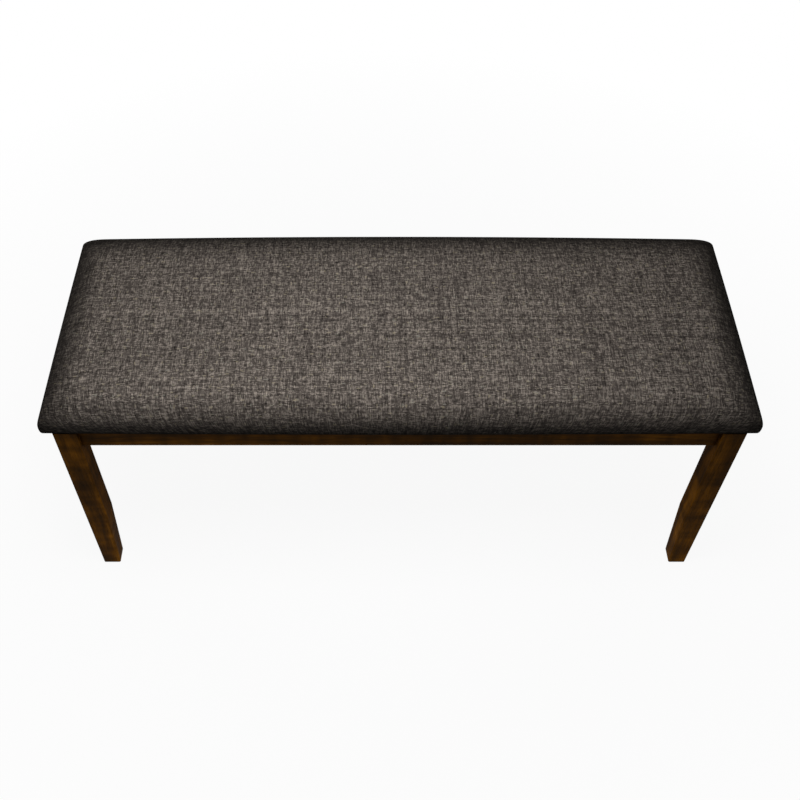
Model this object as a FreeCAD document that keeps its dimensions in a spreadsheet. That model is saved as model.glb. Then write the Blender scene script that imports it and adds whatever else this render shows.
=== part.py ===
import FreeCAD, Part
import math
import operator
import os

import Sketcher
from FreeCAD import Placement, Rotation, Vector

# An upholstered bench: a padded seat screwed onto a wooden frame with four tapered legs.
# Millimetres, +Z up, X along the seat, -Y the front. The origin is on the floor, under the
# middle of the seat.

# Name, size and meaning of every driving dimension.
DIMENSIONS = (
    ("seat_length", 1118, "seat over the fabric, end to end"),
    ("seat_depth", 418, "seat over the fabric, front to rear"),
    ("seat_top", 470, "crown of the seat above the floor"),
    ("frame_length", 1080, "over the outer faces of the legs"),
    ("frame_depth", 408, "over the outer faces of the legs"),
    ("frame_top", 400.5, "top of the legs and aprons"),
    ("leg_side", 37, "square section of the leg"),
    ("foot_side", 30, "square section of the leg at the floor"),
    ("taper_start", 150, "height where the leg begins to narrow"),
    ("edge_bevel", 1.5, "eased edges of the legs and aprons"),
    ("glide_radius", 10, "foot glide disc"),
    ("glide_height", 2.5, "foot glide disc"),
    ("glide_nail_radius", 1.2, "nail of the foot glide"),
    ("glide_nail_length", 16, "nail of the foot glide"),
    ("apron_height", 44, "aprons below the seat"),
    ("apron_thickness", 20, "aprons"),
    ("apron_inset", 9.5, "apron face behind the leg face"),
    ("rail_height", 40, "cross rails under the seat"),
    ("rail_thickness", 20, "cross rails"),
    ("rail_spacing", 360, "between the two cross rails"),
    ("tenon_width", 12, "stub tenon of a cross rail"),
    ("tenon_height", 28, "stub tenon of a cross rail"),
    ("tenon_length", 8, "stub tenon of a cross rail"),
    ("block_height", 40, "corner blocks"),
    ("block_near", 16, "corner to the block's outer face, on the diagonal"),
    ("block_far", 38, "corner to the block's inner face, on the diagonal"),
    ("dowel_radius", 4, "dowels between leg and apron"),
    ("dowel_length", 30, "dowels between leg and apron"),
    ("dowel_in_leg", 12, "dowel length held by the leg"),
    ("dowel_spacing", 22, "between the two dowels of a joint"),
    ("bolt_radius", 4, "hanger bolt"),
    ("bolt_length", 70, "hanger bolt"),
    ("bolt_in_leg", 25, "wood thread of the hanger bolt"),
    ("bolt_point", 5, "tapered tip of the hanger bolt"),
    ("bolt_flat", 7.5, "flat planed on the leg's inner corner, each way"),
    ("washer_radius", 8, "washer on the hanger bolt"),
    ("washer_thickness", 1.6, "washer on the hanger bolt"),
    ("nut_width", 13, "hexagon nut across its flats"),
    ("nut_height", 6.5, "hexagon nut"),
    ("seat_screw_radius", 2.25, "screws that hold the seat"),
    ("seat_screw_length", 38, "screws that hold the seat"),
    ("seat_screw_sink", 12, "counterbore of the seat screws"),
    ("seat_screw_offset", 13, "seat screw beside the hanger bolt"),
    ("block_screw_radius", 2, "screws from block to apron"),
    ("block_screw_length", 25, "screws from block to apron"),
    ("block_screw_seat", 9, "screw head to the apron face"),
    ("block_screw_along", 38, "corner to the screw, along the apron"),
    ("screw_head_radius", 4.2, "pan head of the wood screws"),
    ("screw_head_height", 2.8, "pan head of the wood screws"),
    ("screw_point", 4, "tapered tip of the wood screws"),
    ("fit_gap", 0.05, "clearance round dowels, screws and tenons"),
    ("board_thickness", 12, "plywood seat board"),
    ("board_gap", 1, "seat board to wadding"),
    ("dust_cover_thickness", 0.5, "cloth under the seat"),
    ("dust_cover_margin", 12, "seat edge to dust cover edge"),
    ("cover_thickness", 1, "seat fabric"),
    ("cover_return", 37, "fabric folded under the seat"),
    ("wadding_thickness", 4, "fibre wadding between foam and fabric"),
    ("side_wall", 14, "upright part of the seat's side"),
    ("end_roll", 47, "rolled edge at the ends of the seat"),
    ("side_roll", 44, "rolled edge at the front and rear"),
    ("corner_round", 18, "plan radius of the seat's corners"),
    ("side_bow", 3, "front and rear bulge at mid length"),
    ("end_lip", 1.5, "least height of the crown above the side wall, at the very ends"),
    ("staple_crown", 10, "staples"),
    ("staple_leg", 8, "staples"),
    ("staple_width", 1.2, "staples"),
    ("staple_wire", 0.5, "staples"),
    ("staple_pitch", 75, "between staples"),
    ("cover_staple_inset", 22, "seat edge to the cover staples"),
    ("dust_staple_inset", 18, "seat edge to the dust cover staples"),
    ("long_side_staples", 14, "cover staples along the front"),
    ("short_side_staples", 5, "cover staples along an end"),
)

DIAGONAL = math.sqrt(2)
ALONG_X = Rotation(Vector(0, 1, 0), 90)
AGAINST_X = Rotation(Vector(0, 1, 0), -90)
ALONG_Y = Rotation(Vector(1, 0, 0), -90)
AGAINST_Y = Rotation(Vector(1, 0, 0), 90)
UPRIGHT = Rotation()
QUARTER_TURN = Rotation(Vector(0, 0, 1), 90)
SIGNS = (-1, 1)
CLEAR_OF_FACE = 1.0

# Places where the padded shape is cut into sections: along the crown, as a part of the way
# to the rolled end, and round the roll, in degrees.
CROWN_STATIONS = (0.0, 0.3, 0.6, 0.85)
ROLL_STATIONS = (0, 18, 36, 54, 72, 90)

# Seat screws in a cross rail, as a part of the way from its middle to its end.
RAIL_SCREWS = (-0.5, 0.5)

OPERATIONS = {
    "+": operator.add,
    "-": operator.sub,
    "*": operator.mul,
    "/": operator.truediv,
}


class Length:
    """A size as a number, together with the sheet expression that gives it."""

    def __init__(self, text, number):
        self.text = text
        self.number = float(number)

    def combined(self, sign, other, swapped=False):
        if not isinstance(other, Length):
            other = Length(repr(float(other)), other)
        left, right = (other, self) if swapped else (self, other)
        number = OPERATIONS[sign](left.number, right.number)
        return Length(f"({left.text} {sign} {right.text})", number)

    def __add__(self, other):
        return self.combined("+", other)

    def __radd__(self, other):
        return self.combined("+", other, swapped=True)

    def __sub__(self, other):
        return self.combined("-", other)

    def __rsub__(self, other):
        return self.combined("-", other, swapped=True)

    def __mul__(self, other):
        return self.combined("*", other)

    def __rmul__(self, other):
        return self.combined("*", other, swapped=True)

    def __truediv__(self, other):
        return self.combined("/", other)

    def __neg__(self):
        return self.combined("*", -1.0)


class Sizes:
    """The driving dimensions, by name."""

    def __init__(self, sheet):
        for name, _, _ in DIMENSIONS:
            setattr(self, name, Length(f"Sizes.{name}", sheet.get(name)))


def make_sheet(document):
    sheet = document.addObject("Spreadsheet::Sheet", "Sizes")
    for row, (name, number, meaning) in enumerate(DIMENSIONS, start=1):
        sheet.set(f"A{row}", name)
        sheet.set(f"B{row}", str(number))
        sheet.setAlias(f"B{row}", name)
        sheet.set(f"C{row}", meaning)
    document.recompute()
    return sheet


doc = FreeCAD.newDocument("UpholsteredBench")
size = Sizes(make_sheet(doc))
ZERO = Length("0", 0)

half_length = size.frame_length / 2
half_depth = size.frame_depth / 2
leg_inner_x = half_length - size.leg_side
leg_inner_y = half_depth - size.leg_side
apron_outer_x = half_length - size.apron_inset
apron_outer_y = half_depth - size.apron_inset
apron_inner_x = apron_outer_x - size.apron_thickness
apron_inner_y = apron_outer_y - size.apron_thickness
apron_bottom = size.frame_top - size.apron_height
bolt_height = size.frame_top - size.apron_height / 2
block_bottom = size.frame_top - size.block_height
dowel_in_apron = size.dowel_length - size.dowel_in_leg
cover_bottom = size.frame_top + size.dust_cover_thickness
board_bottom = cover_bottom + size.cover_thickness
board_top = board_bottom + size.board_thickness
screw_end = block_bottom + size.seat_screw_sink + size.seat_screw_length

parts = []


# Tools for building bodies

def register(shape_object, label):
    """Name a finished piece and keep it for writing."""
    shape_object.Label = label
    parts.append(shape_object)
    return shape_object


def move_to(feature, corner):
    for axis, distance in zip("xyz", corner):
        feature.setExpression(f"Placement.Base.{axis}", distance.text)


def new_body(name, corner=(ZERO, ZERO, ZERO)):
    body = doc.addObject("PartDesign::Body", name)
    move_to(body, corner)
    return body


def new_sketch(body, name, plane, lift=ZERO):
    sketch = body.newObject("Sketcher::SketchObject", name)
    planes = [item for item in body.Origin.OriginFeatures if item.Role == plane]
    sketch.AttachmentSupport = [(planes[0], "")]
    sketch.MapMode = "FlatFace"
    sketch.setExpression("AttachmentOffset.Base.z", lift.text)
    return sketch


def pin_point(sketch, geometry, point, place):
    """Hold a sketch point at a distance from the origin, bound to the sheet."""
    for kind, distance in zip(("DistanceX", "DistanceY"), place):
        rule = Sketcher.Constraint(kind, -1, 1, geometry, point, distance.number)
        index = sketch.addConstraint(rule)
        sketch.setExpression(f"Constraints[{index}]", distance.text)


def draw_polygon(sketch, corners):
    points = [Vector(across.number, up.number, 0) for across, up in corners]
    count = len(points)
    first = sketch.GeometryCount
    for index in range(count):
        line = Part.LineSegment(points[index], points[(index + 1) % count])
        sketch.addGeometry(line, False)
    for index in range(count):
        following = first + (index + 1) % count
        sketch.addConstraint(Sketcher.Constraint("Coincident", first + index, 2, following, 1))
    for index, corner in enumerate(corners):
        pin_point(sketch, first + index, 1, corner)


def draw_rectangle(sketch, low, high):
    draw_polygon(sketch, (low, (high[0], low[1]), high, (low[0], high[1])))


def draw_circle(sketch, radius):
    circle = Part.Circle(Vector(0, 0, 0), Vector(0, 0, 1), radius.number)
    index = sketch.addGeometry(circle, False)
    sketch.addConstraint(Sketcher.Constraint("Coincident", -1, 1, index, 3))
    rule = sketch.addConstraint(Sketcher.Constraint("Radius", index, radius.number))
    sketch.setExpression(f"Constraints[{rule}]", radius.text)


def add_pad(body, sketch, length, reverse=False):
    pad = body.newObject("PartDesign::Pad", "Pad")
    pad.Profile = sketch
    pad.setExpression("Length", length.text)
    pad.Reversed = reverse
    doc.recompute()
    return pad


def add_revolution(body, sketch):
    """Turn a half profile about the upright axis of its sketch."""
    revolution = body.newObject("PartDesign::Revolution", "Revolution")
    revolution.Profile = sketch
    revolution.ReferenceAxis = (sketch, ["V_Axis"])
    revolution.Angle = 360
    doc.recompute()
    return revolution


def require_less(body, volume_before):
    if body.Shape.Volume >= volume_before:
        raise RuntimeError(f"a cut in {body.Name} removed nothing")


def cut_pocket(body, sketch, length, reverse=False):
    before = body.Shape.Volume
    pocket = body.newObject("PartDesign::Pocket", "Pocket")
    pocket.Profile = sketch
    pocket.setExpression("Length", length.text)
    pocket.Reversed = reverse
    doc.recompute()
    require_less(body, before)


def cut_bore(body, radius, length, start, turn):
    """Drill from start, in the direction that turn gives the upright axis."""
    before = body.Shape.Volume
    bore = body.newObject("PartDesign::SubtractiveCylinder", "Bore")
    bore.setExpression("Radius", radius.text)
    bore.setExpression("Height", length.text)
    bore.Placement = Placement(Vector(), turn)
    move_to(bore, start)
    doc.recompute()
    require_less(body, before)


def set_box(box, low, high):
    for side, bottom, top in zip(("Length", "Width", "Height"), low, high):
        box.setExpression(side, (top - bottom).text)
    move_to(box, low)
    doc.recompute()


def cut_box(body, low, high):
    before = body.Shape.Volume
    set_box(body.newObject("PartDesign::SubtractiveBox", "Mortise"), low, high)
    require_less(body, before)


def add_box(body, low, high):
    set_box(body.newObject("PartDesign::AdditiveBox", "Tenon"), low, high)


def draw_eased_square(sketch, side):
    """Square from the origin with its four corners cut off by the edge bevel."""
    bevel = size.edge_bevel
    inner = side - bevel
    draw_polygon(sketch, (
        (bevel, ZERO),
        (inner, ZERO),
        (side, bevel),
        (side, inner),
        (inner, side),
        (bevel, side),
        (ZERO, inner),
        (ZERO, bevel),
    ))


def draw_apron_section(sketch):
    """Board section with its two lower corners cut off by the edge bevel."""
    bevel = size.edge_bevel
    draw_polygon(sketch, (
        (bevel, ZERO),
        (size.apron_thickness - bevel, ZERO),
        (size.apron_thickness, bevel),
        (size.apron_thickness, size.apron_height),
        (ZERO, size.apron_height),
        (ZERO, bevel),
    ))


def mirror(source, label, normal):
    copy = doc.addObject("Part::Mirroring", label)
    copy.Source = source
    copy.Base = Vector(0, 0, 0)
    copy.Normal = normal
    return register(copy, label)


def mirror_to_corners(source, kind):
    """Copy the front left piece to the other three corners."""
    mirror(source, f"{kind}_front_right", Vector(1, 0, 0))
    rear = mirror(source, f"{kind}_rear_left", Vector(0, 1, 0))
    mirror(rear, f"{kind}_rear_right", Vector(1, 0, 0))


def place_copy(master, place, turn):
    copy = doc.addObject("App::Link", f"{master.Name}_copy")
    copy.LinkedObject = master
    copy.Placement = Placement(Vector(), turn)
    move_to(copy, place)
    return copy


def group(label, copies):
    compound = doc.addObject("Part::Compound", label)
    compound.Links = copies
    return register(compound, label)


def cut_from(base, tools, label):
    """Take the tools away from the base, one after the other."""
    result = base
    for tool in tools:
        cut = doc.addObject("Part::Cut", "StapleCut")
        cut.Base = result
        cut.Tool = tool
        result = cut
    return register(result, label)


# Wooden frame

def make_leg():
    """Square leg, narrowed on its two inner faces, seen from the front left corner."""
    leg = new_body("leg_front_left", (-half_length, -half_depth, size.glide_height))
    height = size.frame_top - size.glide_height
    bend = size.taper_start - size.glide_height
    foot = new_sketch(leg, "FootSection", "XY_Plane")
    draw_eased_square(foot, size.foot_side)
    section = new_sketch(leg, "BendSection", "XY_Plane", lift=bend)
    draw_eased_square(section, size.leg_side)
    taper = leg.newObject("PartDesign::AdditiveLoft", "Taper")
    taper.Profile = foot
    taper.Sections = [section]
    taper.Ruled = True
    doc.recompute()
    add_pad(leg, section, height - bend)

    flat = new_sketch(leg, "BoltFlat", "XY_Plane", lift=height)
    beyond = size.leg_side + CLEAR_OF_FACE
    inside = size.leg_side - size.bolt_flat - CLEAR_OF_FACE
    draw_polygon(flat, ((beyond, inside), (beyond, beyond), (inside, beyond)))
    cut_pocket(leg, flat, size.apron_height)
    flat_middle = size.leg_side - size.bolt_flat / 2
    bolt_place = (flat_middle, flat_middle, bolt_height - size.glide_height)
    into_leg = Rotation(Vector(0, 0, 1), Vector(-1, -1, 0))
    hole_radius = size.bolt_radius + size.fit_gap
    cut_bore(leg, hole_radius, size.bolt_in_leg + size.fit_gap, bolt_place, into_leg)

    dowel_hole = size.dowel_radius + size.fit_gap
    dowel_depth = size.dowel_in_leg + size.fit_gap
    middle = size.apron_inset + size.apron_thickness / 2
    for sign in SIGNS:
        level = bolt_height - size.glide_height + sign * size.dowel_spacing / 2
        cut_bore(leg, dowel_hole, dowel_depth, (size.leg_side, middle, level), AGAINST_X)
        cut_bore(leg, dowel_hole, dowel_depth, (middle, size.leg_side, level), AGAINST_Y)
    foot_middle = size.foot_side / 2
    nail_hole = size.glide_nail_radius + size.fit_gap
    nail_depth = size.glide_nail_length + size.fit_gap
    cut_bore(leg, nail_hole, nail_depth, (foot_middle, foot_middle, ZERO), UPRIGHT)
    register(leg, "leg_front_left")
    mirror_to_corners(leg, "leg")


def drill_dowels(apron, length, middle, along_x):
    radius = size.dowel_radius + size.fit_gap
    depth = dowel_in_apron + size.fit_gap
    for sign in SIGNS:
        level = size.apron_height / 2 + sign * size.dowel_spacing / 2
        if along_x:
            cut_bore(apron, radius, depth, (ZERO, middle, level), ALONG_X)
            cut_bore(apron, radius, depth, (length, middle, level), AGAINST_X)
        else:
            cut_bore(apron, radius, depth, (middle, ZERO, level), ALONG_Y)
            cut_bore(apron, radius, depth, (middle, length, level), AGAINST_Y)


def make_long_aprons():
    corner = (-leg_inner_x, -apron_outer_y, apron_bottom)
    apron = new_body("apron_front", corner)
    length = leg_inner_x * 2
    section = new_sketch(apron, "Section", "YZ_Plane")
    draw_apron_section(section)
    add_pad(apron, section, length)
    drill_dowels(apron, length, size.apron_thickness / 2, along_x=True)

    screw_hole = size.block_screw_radius + size.fit_gap
    screw_depth = size.block_screw_length - size.block_screw_seat + size.fit_gap
    reach = apron_inner_x - size.block_screw_along
    for sign in SIGNS:
        start = (leg_inner_x + sign * reach, size.apron_thickness, size.apron_height / 2)
        cut_bore(apron, screw_hole, screw_depth, start, AGAINST_Y)

    rail_bottom = size.apron_height - size.rail_height
    tenon_bottom = rail_bottom + (size.rail_height - size.tenon_height) / 2
    for sign in SIGNS:
        middle = leg_inner_x + sign * size.rail_spacing / 2
        half_width = size.tenon_width / 2 + size.fit_gap
        mortise_floor = size.apron_thickness - size.tenon_length - size.fit_gap
        low = (middle - half_width, mortise_floor, tenon_bottom - size.fit_gap)
        tenon_top = tenon_bottom + size.tenon_height + size.fit_gap
        high = (middle + half_width, size.apron_thickness, tenon_top)
        cut_box(apron, low, high)
    register(apron, "apron_front")
    mirror(apron, "apron_rear", Vector(0, 1, 0))


def make_short_aprons():
    corner = (-apron_outer_x, -leg_inner_y, apron_bottom)
    apron = new_body("apron_left", corner)
    length = leg_inner_y * 2
    section = new_sketch(apron, "Section", "XZ_Plane")
    draw_apron_section(section)
    add_pad(apron, section, length, reverse=True)
    drill_dowels(apron, length, size.apron_thickness / 2, along_x=False)

    screw_hole = size.block_screw_radius + size.fit_gap
    screw_depth = size.block_screw_length - size.block_screw_seat + size.fit_gap
    reach = apron_inner_y - size.block_screw_along
    for sign in SIGNS:
        start = (size.apron_thickness, leg_inner_y + sign * reach, size.apron_height / 2)
        cut_bore(apron, screw_hole, screw_depth, start, AGAINST_X)
    register(apron, "apron_left")
    mirror(apron, "apron_right", Vector(1, 0, 0))


def make_cross_rails():
    half_thickness = size.rail_thickness / 2
    rail_bottom = size.frame_top - size.rail_height
    corner = (-size.rail_spacing / 2 - half_thickness, -apron_inner_y, rail_bottom)
    rail = new_body("cross_rail_left", corner)
    length = apron_inner_y * 2
    section = new_sketch(rail, "Section", "XZ_Plane")
    draw_rectangle(section, (ZERO, ZERO), (size.rail_thickness, size.rail_height))
    add_pad(rail, section, length, reverse=True)
    left = half_thickness - size.tenon_width / 2
    right = half_thickness + size.tenon_width / 2
    bottom = (size.rail_height - size.tenon_height) / 2
    top = bottom + size.tenon_height
    add_box(rail, (left, -size.tenon_length, bottom), (right, ZERO, top))
    add_box(rail, (left, length, bottom), (right, length + size.tenon_length, top))
    for part_of_length in RAIL_SCREWS:
        start = (half_thickness, apron_inner_y + apron_inner_y * part_of_length, ZERO)
        drill_seat_screw(rail, start, size.rail_height)
    register(rail, "cross_rail_left")
    mirror(rail, "cross_rail_right", Vector(1, 0, 0))


def drill_seat_screw(body, start, height):
    """Upright screw hole with a counterbore below."""
    radius = size.seat_screw_radius + size.fit_gap
    cut_bore(body, radius, height, start, UPRIGHT)
    head_radius = size.screw_head_radius + size.fit_gap
    cut_bore(body, head_radius, size.seat_screw_sink, start, UPRIGHT)


def seat_screw_in_block():
    """The screw's place from the corner, beside the hanger bolt."""
    middle = (size.block_near + size.block_far) / 2 / DIAGONAL
    aside = size.seat_screw_offset / DIAGONAL
    return middle + aside, middle - aside


def make_corner_blocks():
    """Four-sided block across the corner, from one apron to the next."""
    block = new_body("corner_block_front_left", (-apron_inner_x, -apron_inner_y, block_bottom))
    near = size.block_near * DIAGONAL
    far = size.block_far * DIAGONAL
    plan = new_sketch(block, "Plan", "XY_Plane")
    draw_polygon(plan, ((near, ZERO), (far, ZERO), (ZERO, far), (ZERO, near)))
    add_pad(block, plan, size.block_height)
    bolt_level = bolt_height - block_bottom
    bolt_hole = size.bolt_radius + size.fit_gap * 4
    inward = Rotation(Vector(0, 0, 1), Vector(1, 1, 0))
    cut_bore(block, bolt_hole, size.block_far, (ZERO, ZERO, bolt_level), inward)

    across, up = seat_screw_in_block()
    drill_seat_screw(block, (across, up, ZERO), size.block_height)
    radius = size.block_screw_radius + size.fit_gap
    head_radius = size.screw_head_radius + size.fit_gap
    along = size.block_screw_along
    seat = size.block_screw_seat
    head_bore = far - along
    cut_bore(block, radius, head_bore, (along, ZERO, bolt_level), ALONG_Y)
    cut_bore(block, head_radius, head_bore, (along, seat, bolt_level), ALONG_Y)
    cut_bore(block, radius, head_bore, (ZERO, along, bolt_level), ALONG_X)
    cut_bore(block, head_radius, head_bore, (seat, along, bolt_level), ALONG_X)
    register(block, "corner_block_front_left")
    mirror_to_corners(block, "corner_block")


# Fasteners

def make_dowels():
    dowel = doc.addObject("Part::Cylinder", "Dowel")
    dowel.setExpression("Radius", size.dowel_radius.text)
    dowel.setExpression("Height", size.dowel_length.text)
    copies = []
    end_x = leg_inner_x + size.dowel_in_leg
    end_y = leg_inner_y + size.dowel_in_leg
    middle_x = apron_outer_x - size.apron_thickness / 2
    middle_y = apron_outer_y - size.apron_thickness / 2
    for side in SIGNS:
        for row in SIGNS:
            for layer in SIGNS:
                level = bolt_height + layer * size.dowel_spacing / 2
                turn_x = ALONG_X if side < 0 else AGAINST_X
                turn_y = ALONG_Y if row < 0 else AGAINST_Y
                copies.append(place_copy(dowel, (side * end_x, row * middle_y, level), turn_x))
                copies.append(place_copy(dowel, (side * middle_x, row * end_y, level), turn_y))
    group("apron_dowels", copies)


def turned_body(name, outline):
    """A round piece from its half outline, as distances from the axis and along it."""
    body = new_body(name)
    profile = new_sketch(body, "HalfProfile", "XZ_Plane")
    draw_polygon(profile, outline)
    add_revolution(body, profile)
    return body


def make_screw(name, radius, length):
    """Pan head screw: the underside of the head at zero, the point at the far end."""
    half = radius / 2
    straight = length - size.screw_point
    head = size.screw_head_radius
    return turned_body(name, (
        (ZERO, -size.screw_head_height),
        (head - half, -size.screw_head_height),
        (head, -size.screw_head_height / 2),
        (head, ZERO),
        (radius, ZERO),
        (radius, straight),
        (ZERO, length),
    ))


def seat_screw_places():
    level = block_bottom + size.seat_screw_sink
    across, up = seat_screw_in_block()
    for side in SIGNS:
        for row in SIGNS:
            yield side * (apron_inner_x - across), row * (apron_inner_y - up), level
        for part_of_length in RAIL_SCREWS:
            yield side * size.rail_spacing / 2, apron_inner_y * part_of_length, level


def make_seat_screws():
    screw = make_screw("SeatScrew", size.seat_screw_radius, size.seat_screw_length)
    group("seat_screws", [place_copy(screw, place, UPRIGHT) for place in seat_screw_places()])


def make_block_screws():
    screw = make_screw("BlockScrew", size.block_screw_radius, size.block_screw_length)
    copies = []
    for side in SIGNS:
        for row in SIGNS:
            outward_x = AGAINST_X if side < 0 else ALONG_X
            outward_y = AGAINST_Y if row < 0 else ALONG_Y
            seat_x = side * (apron_inner_x - size.block_screw_seat)
            seat_y = row * (apron_inner_y - size.block_screw_seat)
            along_x = side * (apron_inner_x - size.block_screw_along)
            along_y = row * (apron_inner_y - size.block_screw_along)
            copies.append(place_copy(screw, (along_x, seat_y, bolt_height), outward_y))
            copies.append(place_copy(screw, (seat_x, along_y, bolt_height), outward_x))
    group("corner_block_screws", copies)


def make_hanger_bolts():
    bolt = turned_body("HangerBolt", (
        (ZERO, ZERO),
        (size.bolt_radius, size.bolt_point),
        (size.bolt_radius, size.bolt_length),
        (ZERO, size.bolt_length),
    ))
    washer = new_body("Washer")
    ring = new_sketch(washer, "Ring", "XY_Plane")
    draw_circle(ring, size.washer_radius)
    draw_circle(ring, size.bolt_radius + size.fit_gap * 4)
    add_pad(washer, ring, size.washer_thickness)
    nut = new_body("Nut")
    outline = new_sketch(nut, "Hexagon", "XY_Plane")
    corner_radius = size.nut_width / math.sqrt(3)
    draw_polygon(outline, [
        (corner_radius * math.cos(turn), corner_radius * math.sin(turn))
        for turn in (math.radians(60 * side) for side in range(6))
    ])
    draw_circle(outline, size.bolt_radius + size.fit_gap)
    add_pad(nut, outline, size.nut_height)

    # Distances from the corner where the apron faces meet, along the diagonal.
    flat = (size.leg_side - size.bolt_flat / 2 - (half_length - apron_inner_x)) * -DIAGONAL
    starts = (
        ("hanger_bolts", bolt, -size.bolt_in_leg - flat),
        ("hanger_washers", washer, size.block_far),
        ("hanger_nuts", nut, size.block_far + size.washer_thickness),
    )
    for label, master, start in starts:
        copies = []
        for side in SIGNS:
            for row in SIGNS:
                inward = Rotation(Vector(0, 0, 1), Vector(-side, -row, 0))
                place = (
                    side * (apron_inner_x - start / DIAGONAL),
                    row * (apron_inner_y - start / DIAGONAL),
                    bolt_height,
                )
                copies.append(place_copy(master, place, inward))
        group(label, copies)


def make_foot_glides():
    """Round glide with a nail up into the foot."""
    glide = new_body("foot_glide_front_left", (
        size.foot_side / 2 - half_length,
        size.foot_side / 2 - half_depth,
        ZERO,
    ))
    profile = new_sketch(glide, "HalfProfile", "XZ_Plane")
    bevel = size.glide_height / 3
    top = size.glide_height + size.glide_nail_length
    draw_polygon(profile, (
        (ZERO, ZERO),
        (size.glide_radius - bevel, ZERO),
        (size.glide_radius, bevel),
        (size.glide_radius, size.glide_height),
        (size.glide_nail_radius, size.glide_height),
        (size.glide_nail_radius, top - size.glide_nail_radius),
        (ZERO, top),
    ))
    add_revolution(glide, profile)
    register(glide, "foot_glide_front_left")
    mirror_to_corners(glide, "foot_glide")


# Padded seat

def crown(distance, half_width, roll, rise):
    """Height of a crowned profile: one wide arc between two rolled edges."""
    inner = half_width - roll
    radius = (rise * rise - roll * roll + inner * inner) / (2 * (rise - roll))
    if distance <= inner * radius / (radius - roll):
        return rise - radius + math.sqrt(radius * radius - distance * distance)
    return math.sqrt(max(0.0, roll * roll - (distance - inner) ** 2))


def pad_section(position, inset, bottom):
    """Cross section of the padded shape at one place along the seat."""
    wall_top = cover_bottom.number + size.side_wall.number
    half_seat = size.seat_length.number / 2 - inset
    rise = size.seat_top.number - wall_top - inset
    height = crown(abs(position), half_seat, size.end_roll.number - inset, rise)
    height = max(size.end_lip.number, height)
    half_width = size.seat_depth.number / 2 - inset
    half_width -= size.side_bow.number * (position / half_seat) ** 2
    corner = size.corner_round.number - inset
    into_corner = max(0.0, abs(position) - (half_seat - corner))
    half_width -= corner - math.sqrt(max(0.0, corner ** 2 - into_corner ** 2))

    roll = (size.side_roll.number - inset) * height / rise
    inner = half_width - roll
    radius = (height ** 2 - roll ** 2 + inner ** 2) / (2 * (height - roll))
    top_angle = math.atan2(radius - height, inner)
    shoulder = (radius * math.cos(top_angle), height - radius + radius * math.sin(top_angle))
    middle = (inner + roll * math.cos(top_angle / 2), roll * math.sin(top_angle / 2))

    def point(across, up):
        return Vector(position, across, wall_top + up)

    foot = bottom - wall_top
    edges = (
        Part.LineSegment(point(-half_width, foot), point(half_width, foot)),
        Part.LineSegment(point(half_width, foot), point(half_width, 0)),
        Part.Arc(point(half_width, 0), point(*middle), point(*shoulder)),
        Part.Arc(point(*shoulder), point(0, height), point(-shoulder[0], shoulder[1])),
        Part.Arc(point(-shoulder[0], shoulder[1]), point(-middle[0], middle[1]), point(-half_width, 0)),
        Part.LineSegment(point(-half_width, 0), point(-half_width, foot)),
    )
    return Part.Wire([edge.toShape() for edge in edges])


def pad_shape(inset, bottom):
    """The seat's crowned form, drawn in by an inset and cut flat at a height."""
    roll = size.end_roll.number - inset
    inner = size.seat_length.number / 2 - size.end_roll.number
    stations = [inner * part for part in CROWN_STATIONS]
    stations += [inner + roll * math.sin(math.radians(turn)) for turn in ROLL_STATIONS]
    mirrored = [-place for place in reversed(stations) if place > 0]
    sections = [pad_section(place, inset, bottom) for place in mirrored + stations]
    return Part.makeLoft(sections, True, True)


def add_shape(name, shape):
    feature = doc.addObject("Part::Feature", name)
    feature.Shape = shape
    feature.Placement = Placement(Vector(0, 0, 0), UPRIGHT)
    return feature


def make_staples():
    """Two rows of staples under the seat: one holds the fabric, one the dust cover."""
    staple = new_body("Staple")
    outline = new_sketch(staple, "Outline", "XZ_Plane")
    outer = size.staple_crown / 2
    inner = outer - size.staple_wire
    top = size.staple_leg + size.staple_wire
    draw_polygon(outline, (
        (-outer, ZERO),
        (outer, ZERO),
        (outer, top),
        (inner, top),
        (inner, size.staple_wire),
        (-inner, size.staple_wire),
        (-inner, top),
        (-outer, top),
    ))
    add_pad(staple, outline, size.staple_width, reverse=True)

    long_count = int(size.long_side_staples.number)
    short_count = int(size.short_side_staples.number)
    rows = (
        ("cover_staples", size.cover_staple_inset, cover_bottom, 0),
        ("dust_cover_staples", size.dust_staple_inset, size.frame_top, -1),
    )
    groups = []
    for label, inset, level, fewer in rows:
        edge_x = size.seat_length / 2 - inset
        edge_y = size.seat_depth / 2 - inset
        copies = []
        for side in SIGNS:
            for index in range(long_count + fewer):
                along = size.staple_pitch * (index - (long_count + fewer - 1) / 2)
                copies.append(place_copy(staple, (along, side * edge_y, level), UPRIGHT))
            for index in range(short_count + fewer):
                along = size.staple_pitch * (index - (short_count + fewer - 1) / 2)
                copies.append(place_copy(staple, (side * edge_x, along, level), QUARTER_TURN))
        groups.append(group(label, copies))
    return groups


def make_rounded_sheet(name, margin, bottom, thickness, radius):
    """Flat rectangle with round corners, a margin inside the seat's plan."""
    sheet = new_body(name)
    plan = new_sketch(sheet, "Plan", "XY_Plane", lift=bottom)
    across = size.seat_length / 2 - margin
    up = size.seat_depth / 2 - margin
    draw_rectangle(plan, (-across, -up), (across, up))
    add_pad(sheet, plan, thickness)
    tip = sheet.Tip
    upright = [
        f"Edge{number}"
        for number, edge in enumerate(tip.Shape.Edges, start=1)
        if edge.BoundBox.ZLength > thickness.number / 2
    ]
    fillet = sheet.newObject("PartDesign::Fillet", "Corners")
    fillet.Base = (tip, upright)
    fillet.setExpression("Radius", radius.text)
    doc.recompute()
    return sheet


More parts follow.
